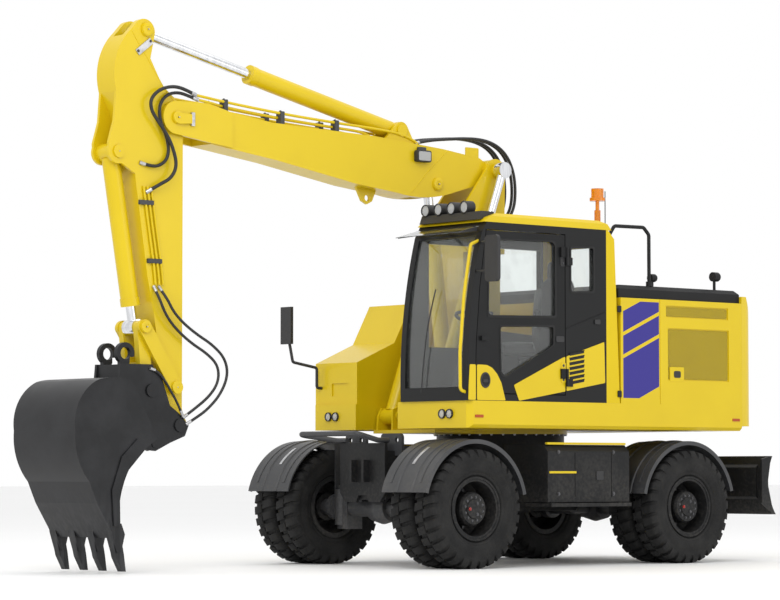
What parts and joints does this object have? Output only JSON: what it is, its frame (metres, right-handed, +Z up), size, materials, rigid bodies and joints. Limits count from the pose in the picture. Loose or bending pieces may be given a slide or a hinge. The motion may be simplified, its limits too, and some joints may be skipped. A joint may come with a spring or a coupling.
{
  "type": "wheeled excavator",
  "caption": "Road-going excavator on twin tyres with a two-piece boom, quick-coupled digging bucket, rear levelling blade, glazed cab and steered front axle.",
  "frame": {"origin": "on the floor, under the slew axis", "axes": "+X towards the front with the steered axle and the bucket, +Y to the left where the cab is, +Z up"},
  "size_m": [7.4526, 2.865, 4.7491],
  "materials": {
    "yellow_paint": "glossy yellow machine paint",
    "dark_paint": "satin near-black paint",
    "grey_paint": "satin dark grey paint",
    "rim_paint": "satin light grey paint",
    "tyre_rubber": "matt black rubber",
    "rod_chrome": "polished rod",
    "cylinder_paint": "satin dark paint",
    "clear_glass": "tinted glazing",
    "seat_cloth": "woven dark cloth",
    "cab_plastic": "matt moulding",
    "cast_weight": "yellow paint over a rough casting",
    "engine_iron": "painted casting",
    "lamp_plastic": "black housing",
    "amber_plastic": "clear orange lens on a dark foot"
  },
  "bodies": {
    "undercarriage": {"chassis_frame": "dark_paint", "front_axle": "dark_paint", "rear_axle": "dark_paint", "gearbox_and_shafts": "grey_paint", "side_box_left": "dark_paint", "side_box_right": "dark_paint", "rear_fenders": "dark_paint", "tie_down_plates": "dark_paint", "front_guard_tube": "dark_paint"},
    "knuckle_left": {"knuckle_left": "dark_paint", "fender_front_left": "dark_paint"},
    "knuckle_right": {"knuckle_right": "dark_paint", "fender_front_right": "dark_paint"},
    "blade": {"blade": "dark_paint"},
    "blade_barrels": {"blade_barrels": "cylinder_paint"},
    "blade_rods": {"blade_rods": "rod_chrome"},
    "upper_structure": {"revolving_frame": "yellow_paint", "counterweight": "cast_weight", "engine_block": "engine_iron", "engine_hood": "yellow_paint", "hood_top": "dark_paint", "right_tank_and_tool_box": "yellow_paint", "cab_shell": "yellow_paint", "cab_roof": "yellow_paint", "cab_panes": "clear_glass", "seat": "seat_cloth", "consoles_and_wheel": "cab_plastic", "roof_lamps": "lamp_plastic", "right_mirror": "lamp_plastic", "left_mirror": "lamp_plastic", "grab_rail": "yellow_paint", "hand_rail_and_rear_lamps": "yellow_paint", "beacon": "amber_plastic"},
    "door": {"door": "yellow_paint", "door_panes": "clear_glass"},
    "lower_boom": {"lower_boom": "yellow_paint"},
    "upper_boom": {"upper_boom": "yellow_paint"},
    "lift_barrels": {"lift_barrels": "yellow_paint"},
    "lift_rods": {"lift_rods": "rod_chrome"},
    "adjust_barrel": {"adjust_barrel": "yellow_paint"},
    "adjust_rod": {"adjust_rod": "rod_chrome"},
    "arm": {"arm": "yellow_paint"},
    "arm_barrel": {"arm_barrel": "yellow_paint"},
    "arm_rod": {"arm_rod": "rod_chrome"},
    "bucket_barrel": {"bucket_barrel": "yellow_paint"},
    "bucket_rod": {"bucket_rod": "rod_chrome"},
    "tilt_levers": {"tilt_levers": "yellow_paint"},
    "bucket_link": {"bucket_link": "yellow_paint"},
    "tool": {"quick_coupler": "dark_paint", "bucket": "dark_paint"},
    "wheels_front_left": {"tyres_front_left": "tyre_rubber", "rims_front_left": "rim_paint"},
    "wheels_front_right": {"tyres_front_right": "tyre_rubber", "rims_front_right": "rim_paint"},
    "wheels_rear_left": {"tyres_rear_left": "tyre_rubber", "rims_rear_left": "rim_paint"},
    "wheels_rear_right": {"tyres_rear_right": "tyre_rubber", "rims_rear_right": "rim_paint"}
  },
  "joints": [
    {"name": "slew", "type": "hinge", "parent": "undercarriage", "child": "upper_structure", "pos_m": [0, 0, 1.2], "axis": [0, 0, 1], "continuous": true},
    {"name": "steer_left", "type": "hinge", "parent": "undercarriage", "child": "knuckle_left", "pos_m": [1.43, 0.6, 0.527], "axis": [0, 0, 1], "range_deg": [-30, 30]},
    {"name": "steer_right", "type": "hinge", "parent": "undercarriage", "child": "knuckle_right", "pos_m": [1.43, -0.6, 0.527], "axis": [0, 0, 1], "range_deg": [-30, 30]},
    {"name": "blade_lift", "type": "hinge", "parent": "undercarriage", "child": "blade", "pos_m": [-1.64, 0, 0.59], "axis": [0, -1, 0], "range_deg": [-4, 36]},
    {"name": "blade_barrel_tilt", "type": "hinge", "parent": "undercarriage", "child": "blade_barrels", "pos_m": [-1.65, 0, 0.93], "axis": [0, -1, 0], "range_deg": [-5, 30]},
    {"name": "blade_rod_slide", "type": "slide", "parent": "blade_barrels", "child": "blade_rods", "axis": [-0.9705, 0, -0.2409], "range_m": [-0.03, 0.2]},
    {"name": "door_hinge", "type": "hinge", "parent": "upper_structure", "child": "door", "pos_m": [0.33, 1.262, 2.2], "axis": [0, 0, 1], "range_deg": [0, 160]},
    {"name": "lower_boom_lift", "type": "hinge", "parent": "upper_structure", "child": "lower_boom", "pos_m": [0.18, -0.165, 1.66], "axis": [0, -1, 0], "range_deg": [-62, 4]},
    {"name": "upper_boom_adjust", "type": "hinge", "parent": "lower_boom", "child": "upper_boom", "pos_m": [0.09, -0.165, 3.68], "axis": [0, 1, 0], "range_deg": [-50, 20]},
    {"name": "arm_swing", "type": "hinge", "parent": "upper_boom", "child": "arm", "pos_m": [3.785, -0.165, 3.914], "axis": [0, -1, 0], "range_deg": [-25, 80]},
    {"name": "bucket_curl", "type": "hinge", "parent": "arm", "child": "tool", "pos_m": [3.76, -0.165, 1.252], "axis": [0, 1, 0], "range_deg": [-6, 125]},
    {"name": "tilt_lever_swing", "type": "hinge", "parent": "arm", "child": "tilt_levers", "pos_m": [3.78, -0.165, 1.58], "axis": [0, 1, 0], "range_deg": [-8, 104]},
    {"name": "bucket_link_swing", "type": "hinge", "parent": "tilt_levers", "child": "bucket_link", "pos_m": [4.115, -0.165, 2.09], "axis": [0, 1, 0], "range_deg": [-62, 6]},
    {"name": "bucket_barrel_tilt", "type": "hinge", "parent": "arm", "child": "bucket_barrel", "pos_m": [4.37, -0.165, 3.585], "axis": [0, 1, 0], "range_deg": [-14, 3]},
    {"name": "bucket_rod_slide", "type": "slide", "parent": "bucket_barrel", "child": "bucket_rod", "axis": [-0.1681, 0, -0.9858], "range_m": [-0.05, 0.9]},
    {"name": "lift_barrel_tilt", "type": "hinge", "parent": "upper_structure", "child": "lift_barrels", "pos_m": [0.94, -0.165, 1.37], "axis": [0, -1, 0], "range_deg": [-58, 6]},
    {"name": "lift_rod_slide", "type": "slide", "parent": "lift_barrels", "child": "lift_rods", "axis": [-0.3453, 0, 0.9385], "range_m": [-0.82, 0.06]},
    {"name": "adjust_barrel_tilt", "type": "hinge", "parent": "lower_boom", "child": "adjust_barrel", "pos_m": [0.55, -0.165, 1.8], "axis": [0, 1, 0], "range_deg": [-4, 3]},
    {"name": "adjust_rod_slide", "type": "slide", "parent": "adjust_barrel", "child": "adjust_rod", "axis": [0.1269, 0, 0.9919], "range_m": [-0.25, 0.6]},
    {"name": "arm_barrel_tilt", "type": "hinge", "parent": "upper_boom", "child": "arm_barrel", "pos_m": [1.184, -0.165, 3.994], "axis": [0, 1, 0], "range_deg": [-2, 1]},
    {"name": "arm_rod_slide", "type": "slide", "parent": "arm_barrel", "child": "arm_rod", "axis": [0.9748, 0, 0.2229], "range_m": [-1, 0.32]},
    {"name": "roll_front_left", "type": "hinge", "parent": "knuckle_left", "child": "wheels_front_left", "pos_m": [1.43, 0.976, 0.527], "axis": [0, 1, 0], "continuous": true},
    {"name": "roll_front_right", "type": "hinge", "parent": "knuckle_right", "child": "wheels_front_right", "pos_m": [1.43, -0.976, 0.527], "axis": [0, 1, 0], "continuous": true},
    {"name": "roll_rear_left", "type": "hinge", "parent": "undercarriage", "child": "wheels_rear_left", "pos_m": [-1.25, 0.976, 0.527], "axis": [0, 1, 0], "continuous": true},
    {"name": "roll_rear_right", "type": "hinge", "parent": "undercarriage", "child": "wheels_rear_right", "pos_m": [-1.25, -0.976, 0.527], "axis": [0, 1, 0], "continuous": true}
  ],
  "couplings": [
    {"joint": "steer_right", "follows": "steer_left", "ratio": 1},
    {"joint": "blade_barrel_tilt", "follows": "blade_lift", "ratio": 0.78},
    {"joint": "blade_rod_slide", "follows": "blade_lift", "m_per_rad": 0.3},
    {"joint": "lift_barrel_tilt", "follows": "lower_boom_lift", "ratio": 0.885},
    {"joint": "lift_rod_slide", "follows": "lower_boom_lift", "m_per_rad": 0.738},
    {"joint": "adjust_barrel_tilt", "follows": "upper_boom_adjust", "ratio": 0.05},
    {"joint": "adjust_rod_slide", "follows": "upper_boom_adjust", "m_per_rad": -0.662},
    {"joint": "arm_barrel_tilt", "follows": "arm_swing", "ratio": -0.01},
    {"joint": "arm_rod_slide", "follows": "arm_swing", "m_per_rad": -0.702},
    {"joint": "tilt_lever_swing", "follows": "bucket_curl", "ratio": 0.8},
    {"joint": "bucket_link_swing", "follows": "bucket_curl", "ratio": -0.46},
    {"joint": "bucket_barrel_tilt", "follows": "bucket_curl", "ratio": -0.095},
    {"joint": "bucket_rod_slide", "follows": "bucket_curl", "m_per_rad": 0.405}
  ]
}
